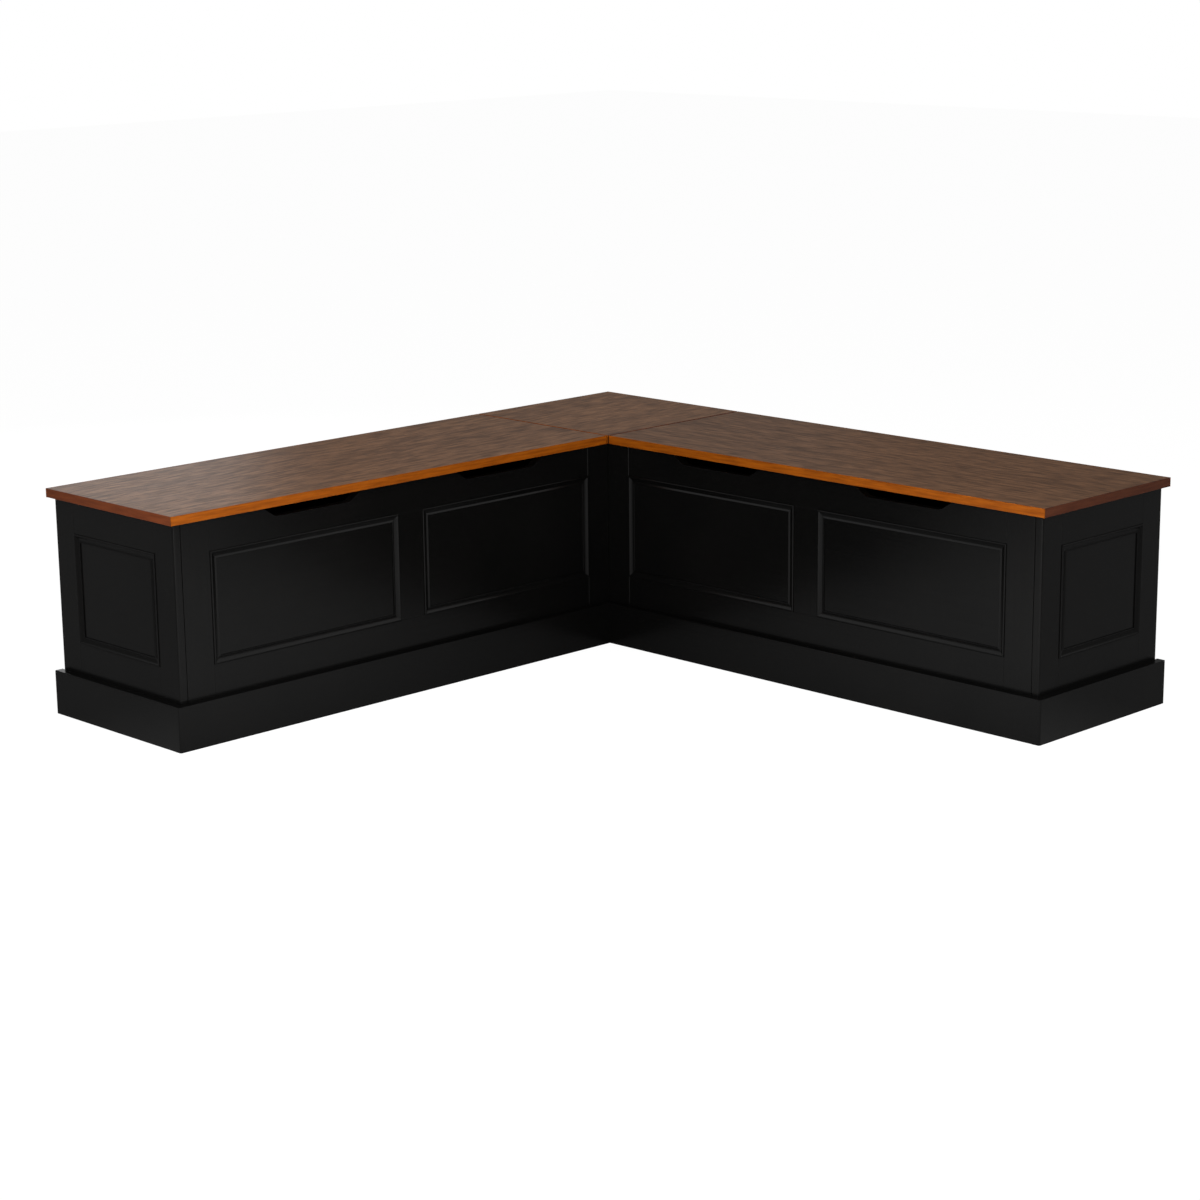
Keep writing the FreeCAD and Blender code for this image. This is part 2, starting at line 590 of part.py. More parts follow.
def top_edges(side, along, across):
    """The four edge strips of a top."""
    up = (CASE_TOP, "seat_height")
    short_across = (f"({across[0]} + lipping)", f"({across[1]} - lipping)")
    return [
        box(side, along, (across[0], f"({across[0]} + lipping)"), up),
        box(side, along, (f"({across[1]} - lipping)", across[1]), up),
        box(side, (along[0], f"({along[0]} + lipping)"), short_across, up),
        box(side, (f"({along[1]} - lipping)", along[1]), short_across, up),
    ]


def top_core(side, along, across):
    """The veneered board inside the edge strips of a top."""
    along_core = (f"({along[0]} + lipping)", f"({along[1]} - lipping)")
    across_core = (f"({across[0]} + lipping)", f"({across[1]} - lipping)")
    return box(side, along_core, across_core, (CASE_TOP, "seat_height"))


kept(top_core("right", ("0", "top_depth"), ("0", "top_depth")), "corner_top_board")
corner_lipping = document.addObject("Part::Compound", "Lipping")
corner_lipping.Links = top_edges("right", ("0", "top_depth"), ("0", "top_depth"))
kept(corner_lipping, "corner_top_lipping")

HINGE_MIDDLES = (
    f"({LID_START} + hinge_inset)",
    f"(({LID_START} + wing_length) / 2)",
    "(wing_length - hinge_inset)",
)


def hinge_housings(side):
    """Shallow recesses in a lid's underside, through its back edge, for the hinges."""
    recesses = []
    for centre in HINGE_MIDDLES:
        play = "knuckle_gap"
        along = (f"({centre} - hinge_length / 2 - {play})", f"({centre} + hinge_length / 2 + {play})")
        barrel_front = f"({HINGE_ACROSS} + knuckle_radius + {play})"
        barrel_top = f"({CASE_TOP} - hinge_plate + knuckle_radius + {play})"
        leaf_front = f"({HINGE_ACROSS} + hinge_leaf + {play})"
        below = f"({CASE_TOP} - overcut)"
        recesses.append(box(side, along, ("(-overcut)", barrel_front), (below, barrel_top)))
        leaf_up = (below, f"({CASE_TOP} + hinge_plate)")
        recesses.append(box(side, along, (barrel_front, leaf_front), leaf_up))
    return recesses


for side in SIDES:
    lid_along = (LID_START, "wing_length")
    lid_across = ("0", "top_depth")
    lid = cut(top_core(side, lid_along, lid_across), *hinge_housings(side))
    kept(lid, f"{side}_lid_board")
    edges = document.addObject("Part::Compound", "Lipping")
    edges.Links = top_edges(side, lid_along, lid_across)
    kept(cut(edges, *hinge_housings(side)), f"{side}_lid_lipping")

# Hinges and stays are drawn in a section across a wing: local X is forwards from
# the hinge axis, local Y is up, and local Z lies along the wing.

def section(side, along, forwards=0, upwards=0, angle=0):
    """Placement of a piece drawn in the section frame, at a point beside the hinge axis."""
    origin = wing_point(side, along, hinge_across + forwards, hinge_up + upwards)
    rotation = turn(Z_AXIS, -90 if side == "right" else 0) * turn(X_AXIS, 90)
    return FreeCAD.Placement(origin, rotation * turn(Z_AXIS, angle))


def copy_at(shape, placement):
    """A copy of a shape, moved as one."""
    copy = shape.copy()
    copy.Placement = placement.multiply(shape.Placement)
    return copy


def screw(length):
    """A countersunk wood screw with its head's face at the origin, pointing along -Z."""
    head = size["screw_head"]
    shank = size["screw_shank"]
    head_depth = head - shank
    tip = 2 * shank
    profile = Part.makePolygon([
        FreeCAD.Vector(0, 0, 0),
        FreeCAD.Vector(head, 0, 0),
        FreeCAD.Vector(shank, 0, -head_depth),
        FreeCAD.Vector(shank, 0, tip - length),
        FreeCAD.Vector(0, 0, -length),
        FreeCAD.Vector(0, 0, 0),
    ])
    return Part.Face(profile).revolve(FreeCAD.Vector(), FreeCAD.Vector(*Z_AXIS), 360)


def countersink():
    """The hole that a screw's head needs, a little larger all round."""
    head = size["screw_head"] + size["screw_play"]
    shank = size["screw_shank"] + size["screw_play"]
    cone = Part.makeCone(head, shank, head - shank, FreeCAD.Vector(), FreeCAD.Vector(0, 0, -1))
    hole = Part.makeCylinder(shank, size["board"], FreeCAD.Vector(), FreeCAD.Vector(0, 0, -1))
    return cone.fuse(hole)


knuckle_length = (size["hinge_length"] - 4 * size["knuckle_gap"]) / 5
knuckle_pitch = knuckle_length + size["knuckle_gap"]


def hinge_leaf(knuckles, plate_low, plate_high):
    """A leaf with its share of the five knuckles, lying along +X from the pin's axis."""
    length = size["hinge_length"]
    radius = size["knuckle_radius"]
    clear = radius + size["knuckle_gap"]
    plate = Part.makeBox(
        size["hinge_leaf"], plate_high - plate_low, length, FreeCAD.Vector(0, plate_low, -length / 2)
    )
    barrel = Part.makeCylinder(radius, length, FreeCAD.Vector(0, 0, -length / 2))
    leaf = plate.fuse(barrel)
    for index in range(5):
        if index in knuckles:
            continue
        low = -length / 2 + index * knuckle_pitch - size["knuckle_gap"]
        span = knuckle_length + 2 * size["knuckle_gap"]
        corner = FreeCAD.Vector(-clear, -clear, low)
        leaf = leaf.cut(Part.makeBox(2 * clear, 2 * clear, span, corner))
    bore = size["pin_radius"] + size["pin_clearance"]
    leaf = leaf.cut(Part.makeCylinder(bore, length, FreeCAD.Vector(0, 0, -length / 2)))
    return leaf.removeSplitter()


# The lid's leaf lies flat under the lid, the case's leaf hangs down the case's
# back, and both bear on their boards through three countersunk screws.
lid_plate = (size["hinge_plate"], 2 * size["hinge_plate"])
case_plate_front = size["knuckle_radius"] + size["knuckle_clearance"]
lid_leaf = hinge_leaf((1, 3), lid_plate[0], lid_plate[1])
case_leaf = hinge_leaf((0, 2, 4), case_plate_front - size["hinge_plate"], case_plate_front)
lid_screw_places = []
case_screw_places = []
for offset in (-size["hinge_hole_pitch"], 0, size["hinge_hole_pitch"]):
    lid_hole = FreeCAD.Vector(size["hinge_hole_reach"], lid_plate[0], offset)
    under_lid = FreeCAD.Placement(lid_hole, turn(X_AXIS, 90))
    lid_leaf = lid_leaf.cut(copy_at(countersink(), under_lid))
    lid_screw_places.append(under_lid)
    case_hole = FreeCAD.Vector(size["hinge_hole_reach"], case_plate_front - size["hinge_plate"], offset)
    behind_case = FreeCAD.Placement(case_hole, turn(X_AXIS, 90))
    case_leaf = case_leaf.cut(copy_at(countersink(), behind_case))
    case_screw_places.append(behind_case)

hinge_pin = Part.makeCylinder(
    size["pin_radius"], size["hinge_length"], FreeCAD.Vector(0, 0, -size["hinge_length"] / 2)
)
plate_screw = screw(size["screw_length"])
hinge_alongs = (
    lid_start + size["hinge_inset"],
    (lid_start + size["wing_length"]) / 2,
    size["wing_length"] - size["hinge_inset"],
)
HANG = turn(Z_AXIS, -90)

case_leaves, pins, case_screws = [], [], []
lid_screws = {"left": [], "right": []}
for side in SIDES:
    lid_leaves = []
    for along in hinge_alongs:
        place = section(side, along)
        hanging = place.multiply(FreeCAD.Placement(FreeCAD.Vector(), HANG))
        lid_leaves.append(copy_at(lid_leaf, place))
        case_leaves.append(copy_at(case_leaf, hanging))
        pins.append(copy_at(hinge_pin, place))
        for screw_place in lid_screw_places:
            lid_screws[side].append(copy_at(plate_screw, place.multiply(screw_place)))
        for screw_place in case_screw_places:
            case_screws.append(copy_at(plate_screw, hanging.multiply(screw_place)))
    group(f"{side}_hinge_lid_leaves", lid_leaves)
group("hinge_case_leaves", case_leaves)
group("hinge_pins", pins)

# Lid stays: at each end of a lid a slotted arm hangs from a bracket under the
# lid and slides over a pin on the wall beside it. The pivot and the pin are the
# same distance from the hinge axis, so the arm turns back by half of what the
# lid turns, and the slot's end stops the lid.
pivot_upwards = size["hinge_plate"] - size["stay_drop"]
pivot_forwards = math.sqrt(size["stay_radius"] ** 2 - pivot_upwards ** 2)
stay_slant = math.radians(size["stay_angle"])
pin_forwards = size["stay_radius"] * math.cos(stay_slant)
pin_upwards = -size["stay_radius"] * math.sin(stay_slant)
rest_slant = math.atan2(pin_upwards - pivot_upwards, pin_forwards - pivot_forwards)
closed_reach = math.hypot(pin_forwards - pivot_forwards, pin_upwards - pivot_upwards)
closed_turn = 2 * math.asin(closed_reach / 2 / size["stay_radius"])
open_turn = closed_turn + math.radians(size["lid_opening"])
open_reach = 2 * size["stay_radius"] * math.sin(open_turn / 2)
CLOSED_TURN = "(stay_angle * 1 deg - asin((stay_drop - hinge_plate) / stay_radius))"
CLOSED_REACH = f"(2 * stay_radius * sin({CLOSED_TURN} / 2))"
OPEN_REACH = f"(2 * stay_radius * sin(({CLOSED_TURN} + lid_opening * 1 deg) / 2))"


def stay_arm(label, side, along):
    """A flat slotted arm, drawn upwards from its pivot and then laid along its closed slant."""
    body = document.addObject("PartDesign::Body", "StayArm")
    face = sketch_on(body, "XY_Plane", "ArmOutline")
    stadium(face, size["stay_width"] / 2, 0, open_reach, ("stay_width / 2", "0", OPEN_REACH))
    strip = body.newObject("PartDesign::Pad", "ArmStrip")
    strip.Profile = face
    strip.Midplane = True
    strip.setExpression("Length", bound("stay_plate"))
    slot_face = sketch_on(body, "XY_Plane", "SlotOutline")
    slot_low = closed_reach - size["stay_pin"]
    slot_high = open_reach + size["stay_play"]
    slot_radius = size["stay_pin"] + size["stay_play"]
    slot_texts = ("stay_pin + stay_play", f"{CLOSED_REACH} - stay_pin", f"{OPEN_REACH} + stay_play")
    stadium(slot_face, slot_radius, slot_low, slot_high, slot_texts)
    eye_face = sketch_on(body, "XY_Plane", "PivotOutline")
    circle_at_origin(eye_face, size["stay_pin"] + size["pin_clearance"], "stay_pin + pin_clearance")
    for name, profile in (("Slot", slot_face), ("PivotHole", eye_face)):
        pocket = body.newObject("PartDesign::Pocket", name)
        pocket.Profile = profile
        pocket.Midplane = True
        pocket.setExpression("Length", bound("2 * stay_plate"))
    slant = math.degrees(rest_slant) - 90
    body.Placement = section(side, along, pivot_forwards, pivot_upwards, slant)
    return kept(body, label)


def case_plate():
    """A plate with the headed pin that the arm slides over, standing on the wall at local Z 0."""
    width = size["case_plate_width"]
    height = size["case_plate_height"]
    thick = size["stay_plate"]
    pin_end = size["stay_offset"] + thick
    plate = Part.makeBox(width, height, thick, FreeCAD.Vector(-width / 2, -height / 2, 0))
    shank = Part.makeCylinder(size["stay_pin"], pin_end, FreeCAD.Vector())
    head = Part.makeCylinder(size["stay_pin_head"], thick, FreeCAD.Vector(0, 0, pin_end))
    plate = plate.fuse([shank, head])
    places = []
    for sign in (-1, 1):
        hole = FreeCAD.Vector(0, sign * size["case_plate_pitch"] / 2, thick)
        places.append(FreeCAD.Placement(hole, FreeCAD.Rotation()))
    for place in places:
        plate = plate.cut(copy_at(countersink(), place))
    return plate, places


def lid_bracket():
    """An angle screwed under the lid, with the stud that the arm turns on at the origin."""
    half = size["stay_width"] / 2
    drop = size["stay_drop"]
    thick = size["stay_plate"]
    near = size["stay_offset"] + thick
    reach = size["bracket_reach"]
    tab = Part.makeBox(2 * half, half + drop, thick, FreeCAD.Vector(-half, -half, near))
    corner = FreeCAD.Vector(-size["bracket_length"] / 2, drop - thick, near)
    flange = Part.makeBox(size["bracket_length"], thick, reach, corner)
    stud_end = size["stay_offset"] - thick
    stud = Part.makeCylinder(size["stay_pin"], near - stud_end, FreeCAD.Vector(0, 0, stud_end))
    head_start = stud_end - thick / 2
    head = Part.makeCylinder(size["stay_stud_head"], thick / 2, FreeCAD.Vector(0, 0, head_start))
    bracket = tab.fuse([flange, stud, head])
    places = []
    for sign in (-1, 1):
        hole = FreeCAD.Vector(sign * size["bracket_pitch"] / 2, drop - thick, near + reach / 2)
        places.append(FreeCAD.Placement(hole, turn(X_AXIS, 90)))
    for place in places:
        bracket = bracket.cut(copy_at(countersink(), place))
    return bracket, places


plate_shape, plate_screw_places = case_plate()
bracket_shape, bracket_screw_places = lid_bracket()
plates = []
for side in SIDES:
    brackets = []
    for stay, wall, inwards in (("inner", partition_far, 1), ("outer", inside_end, -1)):
        stay_arm(f"{side}_stay_{stay}_arm", side, wall + inwards * size["stay_offset"])
        flip = (side == "right") == (stay == "inner")
        away = FreeCAD.Placement(FreeCAD.Vector(), turn(Y_AXIS, 180 if flip else 0))
        at_pin = section(side, wall, pin_forwards, pin_upwards).multiply(away)
        at_pivot = section(side, wall, pivot_forwards, pivot_upwards).multiply(away)
        plates.append(copy_at(plate_shape, at_pin))
        brackets.append(copy_at(bracket_shape, at_pivot))
        for screw_place in plate_screw_places:
            case_screws.append(copy_at(plate_screw, at_pin.multiply(screw_place)))
        for screw_place in bracket_screw_places:
            lid_screws[side].append(copy_at(plate_screw, at_pivot.multiply(screw_place)))
    group(f"{side}_stay_lid_brackets", brackets)
    group(f"{side}_lid_screws", lid_screws[side])
group("stay_case_plates", plates)
group("case_screws", case_screws)

# Screws up through the corner's cleats into the fixed corner top
cleat_middle = size["inset_back"] + size["board"] + size["cleat"] / 2
beside_partition = partition_near - size["cleat"] / 2
corner_screws = []
for side in SIDES:
    for reach in (size["corner_screw_near"], size["corner_screw_far"]):
        for along, across in ((reach, cleat_middle), (beside_partition, reach)):
            foot = wing_point(side, along, across, case_top - size["cleat"])
            upright = FreeCAD.Placement(foot, turn(X_AXIS, 180))
            corner_screws.append(copy_at(screw(size["corner_screw"]), upright))
group("corner_top_screws", corner_screws)

# Every feature has to be sound before anything is written
document.recompute()
for feature in document.Objects:
    if "Invalid" in feature.State or "Error" in feature.State:
        raise RuntimeError(f"{feature.Name} failed: {feature.State}")
for node in nodes:
    if node.Shape.isNull() or not node.Shape.isValid() or not node.Shape.Solids:
        raise RuntimeError(f"{node.Label} has no sound solid")
for node in nodes:
    node.Shape.exportStep(f"parts/{node.Label}.step")
print(len(nodes), "pieces written")
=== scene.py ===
import json
import math

import bmesh
import bpy
from mathutils import Matrix, Vector

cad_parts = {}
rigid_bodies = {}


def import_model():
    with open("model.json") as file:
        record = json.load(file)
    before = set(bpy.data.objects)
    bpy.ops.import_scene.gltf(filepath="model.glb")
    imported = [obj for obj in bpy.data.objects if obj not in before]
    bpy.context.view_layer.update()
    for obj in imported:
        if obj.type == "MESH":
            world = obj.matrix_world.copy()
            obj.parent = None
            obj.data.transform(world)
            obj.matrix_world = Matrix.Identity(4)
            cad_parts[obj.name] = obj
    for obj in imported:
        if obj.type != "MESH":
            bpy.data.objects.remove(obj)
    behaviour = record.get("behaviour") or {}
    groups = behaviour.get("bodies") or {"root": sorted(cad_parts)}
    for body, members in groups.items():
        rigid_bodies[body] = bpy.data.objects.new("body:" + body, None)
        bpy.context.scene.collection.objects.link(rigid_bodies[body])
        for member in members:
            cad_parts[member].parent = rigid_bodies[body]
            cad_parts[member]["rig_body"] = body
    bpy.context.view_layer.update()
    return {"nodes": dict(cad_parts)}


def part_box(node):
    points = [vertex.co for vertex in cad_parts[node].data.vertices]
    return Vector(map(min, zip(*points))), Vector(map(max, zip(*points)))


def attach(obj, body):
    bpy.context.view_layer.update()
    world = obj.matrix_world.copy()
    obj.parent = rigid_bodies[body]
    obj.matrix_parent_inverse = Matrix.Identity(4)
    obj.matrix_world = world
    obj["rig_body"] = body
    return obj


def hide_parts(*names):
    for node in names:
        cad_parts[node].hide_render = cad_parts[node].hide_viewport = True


# Corner storage bench: an L of two storage boxes that meet in a square corner.
# Every board, hinge and stay keeps the place and size that the frame gives it.
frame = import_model()
scene = bpy.context.scene
scene.view_settings.view_transform = "Standard"

# Camera: a product shot with a long lens, from in front of the inner corner and
# about a metre above the seat.
camera = bpy.data.objects.new("camera", bpy.data.cameras.new("camera"))
camera_place = (3.815, -3.790, 1.520)
camera_yaw = math.radians(45.37)
camera_pitch = math.radians(13.57)
camera_roll = math.radians(-0.62)
aim = Matrix.Rotation(camera_yaw, 4, "Z")
aim @= Matrix.Rotation(math.pi / 2 - camera_pitch, 4, "X")
aim @= Matrix.Rotation(camera_roll, 4, "Z")
camera.matrix_world = Matrix.Translation(camera_place) @ aim
camera.data.sensor_width = 36
camera.data.lens = 84.17
scene.collection.objects.link(camera)
scene.camera = camera


# Frames and panels: stiles, rails and muntins of 18 mm board, stub-tenoned
# together round thin panels, then sprayed satin black. The sanded edges leave a
# fine groove at each joint, and the boards' grain still ripples the paint.
def stretched_noise(material, grain, length, width, detail, shift=0, slant=0):
    """Soft patches drawn out along the grain, about length by width in metres.

    Shift picks another part of the pattern, and slant turns it by some degrees.
    """
    nodes = material.node_tree.nodes
    links = material.node_tree.links
    place = nodes.new("ShaderNodeTexCoord")
    stretch = nodes.new("ShaderNodeMapping")
    stretch.vector_type = "TEXTURE"
    stretch.inputs["Scale"].default_value = [length if axis == grain else width for axis in "XYZ"]
    stretch.inputs["Location"].default_value = (shift, 0.7 * shift, 0.3 * shift)
    stretch.inputs["Rotation"].default_value = (0, 0, math.radians(slant))
    noise = nodes.new("ShaderNodeTexNoise")
    noise.inputs["Scale"].default_value = 1
    noise.inputs["Detail"].default_value = detail
    links.new(place.outputs["Object"], stretch.inputs["Vector"])
    links.new(stretch.outputs["Vector"], noise.inputs["Vector"])
    return noise.outputs["Fac"]


def even_noise(material, size, detail):
    """Soft patches of one size in metres, drawn out in no direction."""
    return stretched_noise(material, "", size, size, detail)


def shaded(material, source, low, high, dark, light):
    """Two colours, spread between two levels of a pattern."""
    ramp = material.node_tree.nodes.new("ShaderNodeValToRGB")
    ramp.color_ramp.elements[0].position = low
    ramp.color_ramp.elements[0].color = (*dark, 1)
    ramp.color_ramp.elements[1].position = high
    ramp.color_ramp.elements[1].color = (*light, 1)
    material.node_tree.links.new(source, ramp.inputs["Fac"])
    return ramp.outputs["Color"]


def level(material, source, low, high, least, most):
    """A pattern's levels from low to high, turned into values from least to most."""
    spread = material.node_tree.nodes.new("ShaderNodeMapRange")
    spread.inputs["From Min"].default_value = low
    spread.inputs["From Max"].default_value = high
    spread.inputs["To Min"].default_value = least
    spread.inputs["To Max"].default_value = most
    material.node_tree.links.new(source, spread.inputs["Value"])
    return spread.outputs["Result"]


def relief(material, height, strength, depth, under=None):
    """Surface relief from a pattern, over another relief if one is given."""
    bump = material.node_tree.nodes.new("ShaderNodeBump")
    bump.inputs["Strength"].default_value = strength
    bump.inputs["Distance"].default_value = depth
    material.node_tree.links.new(height, bump.inputs["Height"])
    if under:
        material.node_tree.links.new(under, bump.inputs["Normal"])
    return bump.outputs["Normal"]


def new_material(name):
    """A material and the shader that its finish is built on."""
    material = bpy.data.materials.new(name)
    material.use_nodes = True
    return material, material.node_tree.nodes["Principled BSDF"]


def satin_black(grain):
    """Sprayed satin black over a board whose grain runs along one axis."""
    material, shader = new_material(f"satin_black_{grain.lower()}")
    links = material.node_tree.links
    shader.inputs["Specular IOR Level"].default_value = 0.165
    ripple = stretched_noise(material, grain, length=0.16, width=0.0035, detail=4)
    cloud = even_noise(material, size=0.22, detail=3)
    peel = even_noise(material, size=0.0012, detail=1)
    soot = (0.0025, 0.0025, 0.0024)
    charcoal = (0.0038, 0.0036, 0.0034)
    colour = shaded(material, cloud, low=0.3, high=0.7, dark=soot, light=charcoal)
    links.new(colour, shader.inputs["Base Color"])
    roughness = level(material, ripple, low=0.3, high=0.7, least=0.20, most=0.26)
    links.new(roughness, shader.inputs["Roughness"])
    skin = relief(material, peel, strength=0.05, depth=0.0001)
    skin = relief(material, ripple, strength=0.06, depth=0.00025, under=skin)
    links.new(skin, shader.inputs["Normal"])
    return material


paint = {grain: satin_black(grain) for grain in "XYZ"}
grain_of_wing = {"left": "Y", "right": "X"}
grain_of_end = {"left": "X", "right": "Y"}

# A side of a board is an axis and the end of the board's box along it.
TOP = (2, 1)
FRONT = {"left": (0, 1), "right": (1, 0)}
FREE_END = {"left": (1, 0), "right": (0, 1)}
SIDES = ("left", "right")


def opposite(side):
    """The side across the board from this one."""
    axis, end = side
    return axis, 1 - end


def merge_triangles(shape):
    """Join a frame piece's loose triangles into closed flats."""
    bmesh.ops.remove_doubles(shape, verts=shape.verts, dist=1e-6)
    straight = math.radians(1)
    bmesh.ops.dissolve_limit(shape, angle_limit=straight, verts=shape.verts, edges=shape.edges)


def merged_copy(node):
    """A frame piece's shape as closed, merged faces."""
    shape = bmesh.new()
    shape.from_mesh(frame["nodes"][node].data)
    merge_triangles(shape)
    return shape


def rounded(shape, edges, radius, segments):
    """Round off some edges of a shape."""
    bmesh.ops.bevel(
        shape, geom=edges, offset=radius, offset_type="OFFSET", segments=segments,
        profile=0.5, affect="EDGES", clamp_overlap=True, material=-1,
    )


def edges_between(shape, box, sides):
    """The edges of a shape that lie on all the named sides of its box."""
    touching = 1e-5
    found = []
    for edge in shape.edges:
        gaps = [abs(v.co[axis] - box[end][axis]) for axis, end in sides for v in edge.verts]
        if max(gaps) < touching:
            found.append(edge)
    return found


def sharp_edges(shape, degrees=35):
    """The edges where a shape turns by more than some degrees."""
    return [edge for edge in shape.edges if edge.calc_face_angle(0) > math.radians(degrees)]


def finished(shape, node, material):
    """Make a shape the piece that stands for its node, with even shading on its flats."""
    mesh = bpy.data.meshes.new(node)
    for face in shape.faces:
        face.smooth = True
    shape.to_mesh(mesh)
    shape.free()
    mesh.materials.append(material)
    piece = bpy.data.objects.new(f"{node}_piece", mesh)
    scene.collection.objects.link(piece)
    flats = piece.modifiers.new("even_flats", "WEIGHTED_NORMAL")
    flats.weight = 100
    flats.keep_sharp = True
    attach(piece, frame["nodes"][node]["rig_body"])
    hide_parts(node)
    return piece


def painted_board(node, material, arrises=()):
    """A board with sanded edges; each arris is a radius and the sides that it lies between."""
    shape = merged_copy(node)
    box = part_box(node)
    for radius, *sides in arrises:
        rounded(shape, edges_between(shape, box, sides), radius, segments=4)
    sanded = 0.0005
    rounded(shape, sharp_edges(shape), sanded, segments=2)
    return finished(shape, node, material)


corner_arris = 0.004
joint_arris = 0.0024
close_arris = 0.001
for side in SIDES:
    along = paint[grain_of_wing[side]]
    across = paint[grain_of_end[side]]
    front = FRONT[side]
    free_end = FREE_END[side]
    inner_stile_edges = [(joint_arris, front, free_end), (joint_arris, front, opposite(free_end))]
    painted_board(f"{side}_front_inner_stile", paint["Z"], inner_stile_edges)
    painted_board(f"{side}_front_muntin", paint["Z"])
    painted_board(f"{side}_front_outer_stile", paint["Z"], [(close_arris, front, free_end)])
    painted_board(f"{side}_front_top_rail", along)
    painted_board(f"{side}_front_bottom_rail", along)
    painted_board(f"{side}_front_inner_panel", along)
    painted_board(f"{side}_front_outer_panel", along)
    corner_post = [(corner_arris, front, free_end), (joint_arris, front, opposite(free_end))]
    painted_board(f"{side}_end_front_stile", paint["Z"], corner_post)
    painted_board(f"{side}_end_rear_stile", paint["Z"])
    painted_board(f"{side}_end_top_rail", across)
    painted_board(f"{side}_end_bottom_rail", across)
    painted_board(f"{side}_end_panel", across)


# Panel mouldings: strips mitred and glued round each panel, painted with the
# case. A rounded ridge stands in front of the frame, a wide hollow falls from
# it, and a short slope rises again to a rounded inner edge beside the panel.
def arc_points(start, through, end, steps):
    """Points that follow start on the circular arc through three points."""
    chord = Vector(through) - Vector(start)
    span = Vector(end) - Vector(start)
    twice = 2 * (chord.x * span.y - chord.y * span.x)
    centre = Vector(start) + Vector((
        (span.y * chord.length_squared - chord.y * span.length_squared) / twice,
        (chord.x * span.length_squared - span.x * chord.length_squared) / twice,
    ))
    spoke = Vector(start) - centre
    turn = -spoke.angle_signed(Vector(end) - centre)
    points = []
    for step in range(1, steps + 1):
        points.append(centre + Matrix.Rotation(turn * step / steps, 2) @ spoke)
    return points


# The strip's section: how far inwards from its outer edge, and how far in front
# of the frame's face.
panel_setback = 0.0025
nose = 0.0007
diagonal = nose / math.sqrt(2)
outer_foot = (0, 0.0012)
crown = (0.0021, 0.0027)
inner_foot = (0.0035, 0.0022)
valley = (0.0114, -0.0016)
sunk = 0.00055
hollow = ((inner_foot[0] + valley[0]) / 2, (inner_foot[1] + valley[1]) / 2 - sunk)
lip = (0.0148, 0.0001)
nose_middle = (lip[0] + diagonal, lip[1] - nose + diagonal)
nose_end = (lip[0] + nose, lip[1] - nose)
moulding_section = [(0, -panel_setback), outer_foot]
moulding_section += arc_points(outer_foot, crown, inner_foot, steps=10)
moulding_section += arc_points(inner_foot, hollow, valley, steps=8)
moulding_section.append(lip)
moulding_section += arc_points(lip, nose_middle, nose_end, steps=4)
moulding_section.append((nose_end[0], -panel_setback))


def moulding_strip(shape, length, reach, placement):
    """One mitred strip: length along its outer edge, reach from the panel's middle to that edge."""
    near = [shape.verts.new((0, -outwards, inwards)) for inwards, outwards in moulding_section]
    before = set(shape.verts)
    section = shape.faces.new(near)
    bmesh.ops.extrude_face_region(shape, geom=[section])
    far = [vertex for vertex in shape.verts if vertex not in before]
    # Each end leans inwards by 45 degrees as it leaves the outer edge.
    for sign, ring in ((-1, near), (1, far)):
        mitre = Matrix.Translation((sign * length / 2, 0, -reach))
        mitre[0][2] = -sign
        bmesh.ops.transform(shape, matrix=mitre, verts=ring)
    bmesh.ops.transform(shape, matrix=placement, verts=near + far)


def place_of(box, side):
    """Where a side of a box lies along its own axis."""
    axis, end = side
    return box[end][axis]


panel_tongue = 0.0075


def panel_moulding(shape, panel, face, frame_face):
    """The four strips round one panel; frame_face is where its frame's outer face lies."""
    low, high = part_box(panel)
    tongue = Vector((panel_tongue, panel_tongue, panel_tongue))
    low, high = low + tongue, high - tongue
    axis = face[0]
    middle = (low + high) / 2
    middle[axis] = frame_face
    width = (high - low)[1 - axis]
    height = (high - low)[2]
    turned = Matrix.Rotation(math.pi / 2 if axis == 0 else 0, 4, "Z")
    for quarter in range(4):
        length, reach = (width, height / 2) if quarter % 2 == 0 else (height, width / 2)
        spun = Matrix.Rotation(quarter * math.pi / 2, 4, "Y")
        moulding_strip(shape, length, reach, Matrix.Translation(middle) @ turned @ spun)


for side in SIDES:
    front_face = place_of(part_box(f"{side}_front_outer_stile"), FRONT[side])
    end_face = place_of(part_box(f"{side}_end_front_stile"), FREE_END[side])
    shape = bmesh.new()
    panel_moulding(shape, f"{side}_front_inner_panel", FRONT[side], front_face)
    panel_moulding(shape, f"{side}_front_outer_panel", FRONT[side], front_face)
    panel_moulding(shape, f"{side}_end_panel", FREE_END[side], end_face)
    bmesh.ops.recalc_face_normals(shape, faces=shape.faces)
    for edge in sharp_edges(shape, degrees=40):
        edge.smooth = False
    finished(shape, f"{side}_panel_mouldings", paint[grain_of_wing[side]])

# Plinth: wide boards planted round the foot of the case and painted with it. The
# board that laps over its neighbour at a free corner has the rounded corner, and
# each upper outer edge is rounded too.
ledge_arris = 0.002
for side in SIDES:
    front = FRONT[side]
    free_end = FREE_END[side]
    front_arrises = [(ledge_arris, front, TOP)]
    end_arrises = [(ledge_arris, free_end, TOP)]
    lapping = front_arrises if side == "left" else end_arrises
    lapping.insert(0, (corner_arris, front, free_end))
    painted_board(f"{side}_plinth_front", paint[grain_of_wing[side]], front_arrises)
    painted_board(f"{side}_plinth_end", paint[grain_of_end[side]], end_arrises)

